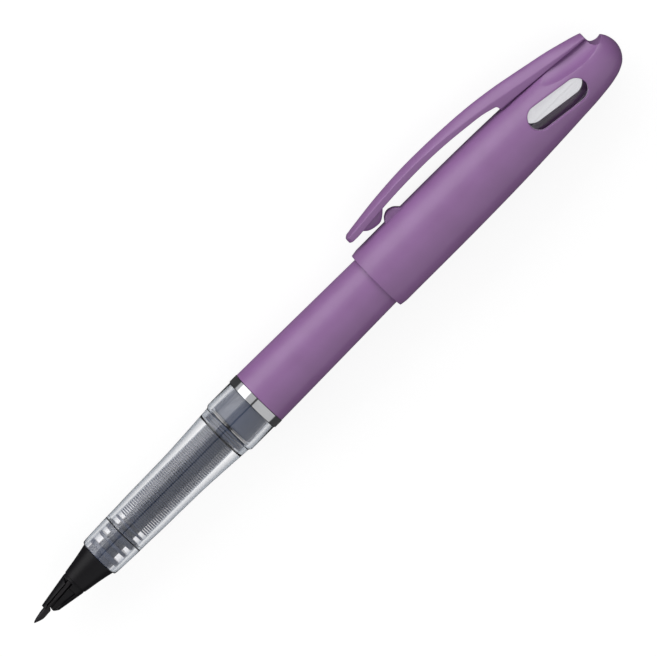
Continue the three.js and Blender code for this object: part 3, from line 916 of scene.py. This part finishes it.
arm_rows = [
    [0, 2.2, 2.95, 3.1, 0.62],
    [0.01, 2.05, 3.15, 3.42, 0.86],
    [0.035, 2.0, 3.3, 3.62, 1],
    [0.11, 2.15, 3.5, 4.1, 1],
    [0.21, 2.45, 3.8, 4.6, 1],
    [0.31, 2.7, 4.08, 4.95, 1],
    [0.42, 2.85, 4.25, 5.2, 1],
    [0.6, 2.83, 4.1, 5.2, 1],
    [0.7, 2.6, 3.75, 5.08, 1],
    [0.82, 2.12, 3.15, 4.82, 1],
    [0.92, 1.6, 2.55, 4.45, 1],
]
root_rows = [
    [25.2, 0.8, 2.0, 4.03],
    [23.1, 0.4, 1.6, 3.7],
    [19.2, -0.4, 0.85, 2.95],
    [15.3, -1.2, 0.1, 2.15],
    [11.3, -2.0, -0.6, 1.3],
    [7.4, -2.8, -1.25, 0.25],
    [4.5, -3.4, -1.6, -0.65],
    [3.75, -3.6, -1.7, -0.95],
]
keys = [[tip + share * (ROOT - tip), *heights] for share, *heights in arm_rows]
keys += [[cap_end - back, *heights, 1] for back, *heights in root_rows]
line = through(keys, 420)
x, under, edge, crest, width = line.T
width = width * CLIP_HALF
round_end = 0.55
near = np.clip((x - ROOT + round_end) / round_end, 0, 1)
under = np.where(x < ROOT, under - round_end * (1 - np.sqrt(1 - near**2)), np.minimum(under, -1.6))
share = np.array([1, 0.72, 0.36, 0, -0.36, -0.72, -1])
ledge = np.where(x < ROOT, under + 0.02, -0.14 - 0.093 * (x - ROOT))
section = np.stack(
    [
        np.stack([under, width * -0.5], axis=-1),
        np.stack([under, width * 0.5], axis=-1),
        np.stack([ledge, width * 0.58], axis=-1),
        np.stack([ledge + 0.02, width * 0.93], axis=-1),
        *[np.stack([edge + (crest - edge) * (1 - t * t), width * t], axis=-1) for t in share],
        np.stack([ledge + 0.02, width * -0.93], axis=-1),
        np.stack([ledge, width * -0.58], axis=-1),
    ],
    axis=1,
)
ROUNDING = np.array([0.1, 0.1, 0.1, 0.2, 0.22, 0.5, 0.5, 0.5, 0.5, 0.5, 0.22, 0.2, 0.1])[None, :, None]
ring_points = softened(section, ROUNDING, 5)
ring_points[..., 0] += cap_radius
stations = np.broadcast_to(x[:, None, None], ring_points[..., :1].shape)
clip_skin = np.concatenate([stations, ring_points], axis=-1)
clip_skin = np.vstack([closed_end(clip_skin, 0), clip_skin, closed_end(clip_skin, -1)])
foot = cap_radius + 2.5
grip_bump = bump_skin(
    [
        [tip + 2.9, foot],
        [tip + 4.3, foot - 1.35],
        [tip + 5.8, foot - 1.8],
        [tip + 7.2, foot - 1.8],
        [tip + 8.2, foot - 1.2],
        [tip + 9.5, foot],
    ],
    foot,
    CLIP_HALF * 0.5,
)
clip = surface("clip_arm_and_root", clip_skin, grip_bump)
clip.data.materials.append(mauve_abs)
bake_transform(clip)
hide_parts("clip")

# The stop below the clip's tip, moulded on the cap.
stop_skin = bump_skin(
    [
        [cap_start + 9.1, cap_radius - 0.2],
        [cap_start + 10.1, cap_radius + 0.95],
        [cap_start + 11.2, cap_radius + 1.38],
        [cap_start + 12.4, cap_radius + 1.1],
        [cap_start + 13.8, cap_radius - 0.2],
    ],
    cap_radius - 0.2,
    CLIP_HALF * 0.5,
)
stop = surface("clip_stop_on_cap", stop_skin)
stop.data.materials.append(mauve_abs)
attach(stop, "cap")


# ---- Studio ----
# A plain pale table under the pen, a long softbox on each side of it, a brighter strip before the one on
# the clip's side, and a long lens that looks down between them, tipped a little towards the clip and the
# cap.

TIP_TO_CAP = math.radians(2.8)
TIP_TO_CLIP = math.radians(10)
IMAGE_TILT = math.radians(45.05)
IMAGE_SIDE = 0.1285
DISTANCE = 2.5
SENSOR = 36.0

towards = Vector(
    (
        math.sin(TIP_TO_CAP),
        math.cos(TIP_TO_CAP) * math.sin(TIP_TO_CLIP),
        math.cos(TIP_TO_CAP) * math.cos(TIP_TO_CLIP),
    )
)
along_pen = (Vector((1, 0, 0)) - towards * towards.x).normalized()
to_clip = towards.cross(along_pen)
image_right = along_pen * math.cos(IMAGE_TILT) - to_clip * math.sin(IMAGE_TILT)
image_up = along_pen * math.sin(IMAGE_TILT) + to_clip * math.cos(IMAGE_TILT)
aim = Vector(AXIS) + Vector((81.65 * MM, 0, 0)) - to_clip * 0.05 * MM

camera_data = bpy.data.cameras.new("long_lens")
camera_data.sensor_width = SENSOR
camera_data.lens = SENSOR * DISTANCE / IMAGE_SIDE
camera_data.clip_start = 0.01
camera = bpy.data.objects.new("long_lens", camera_data)
turn = Matrix((image_right, image_up, towards)).transposed()
camera.matrix_world = Matrix.Translation(aim + towards * DISTANCE) @ turn.to_4x4()
bpy.context.scene.collection.objects.link(camera)
bpy.context.scene.camera = camera


PANEL_AWAY = 0.45
PANEL_LENGTH = 1.2


def softbox(name, middle_angle, half_angle, brightness):
    """A long panel that faces the pen. Its angles are measured round the pen from the camera's side
    towards the clip, and its power follows from its brightness and its size."""
    light = bpy.data.lights.new(name, "AREA")
    light.shape = "RECTANGLE"
    light.size = PANEL_LENGTH
    light.size_y = 2 * PANEL_AWAY * math.tan(math.radians(half_angle))
    light.energy = brightness * math.pi * light.size * light.size_y
    panel = bpy.data.objects.new(name, light)
    swing = Matrix.Rotation(-math.radians(middle_angle), 3, along_pen)
    facing = swing @ towards
    turn = Matrix((along_pen, facing.cross(along_pen), facing)).transposed()
    panel.matrix_world = Matrix.Translation(aim + facing * PANEL_AWAY) @ turn.to_4x4()
    panel.visible_camera = False
    bpy.context.scene.collection.objects.link(panel)


softbox("softbox_on_the_clip_side", 49, 44, 0.62)
softbox("bright_strip_before_it", 55, 22, 1.45)
softbox("softbox_on_the_far_side", -49.5, 47.5, 0.66)

world = bpy.data.worlds.new("studio")
bpy.context.scene.world = world
world.use_nodes = True
room = world.node_tree.nodes["Background"]
# The room lights the pen dimly, but is pale where it shows behind the table.
seen = add(world.node_tree, "ShaderNodeLightPath", {})
dim_and_pale = {"To Min": 0.08, "To Max": 0.85}
in_view = {"Value": seen.outputs["Is Camera Ray"]}
dim_room = add(world.node_tree, "ShaderNodeMapRange", dim_and_pale, in_view)
world.node_tree.links.new(dim_room.outputs["Result"], room.inputs["Strength"])
room.inputs["Color"].default_value = linear("#f4f4f6")

# A plain pale table, evenly lit from inside. It is kept out of reflections and bounced light, so that
# the pen is lit from above only.
bpy.ops.mesh.primitive_plane_add(size=8, location=(0, 0, -0.00002))
table = bpy.context.object
table.name = "pale_table"
table.visible_glossy = False
table.visible_diffuse = False
opal = bpy.data.materials.new("opal_glass_plain")
opal.use_nodes = True
opal_shader = opal.node_tree.nodes["Principled BSDF"]
opal_shader.inputs["Base Color"].default_value = linear("#828282")
opal_shader.inputs["Roughness"].default_value = 0.8
opal_shader.inputs["Emission Color"].default_value = linear("#ffffff")
opal_shader.inputs["Emission Strength"].default_value = 0.84
table.data.materials.append(opal)

bpy.context.scene.view_settings.view_transform = "Standard"
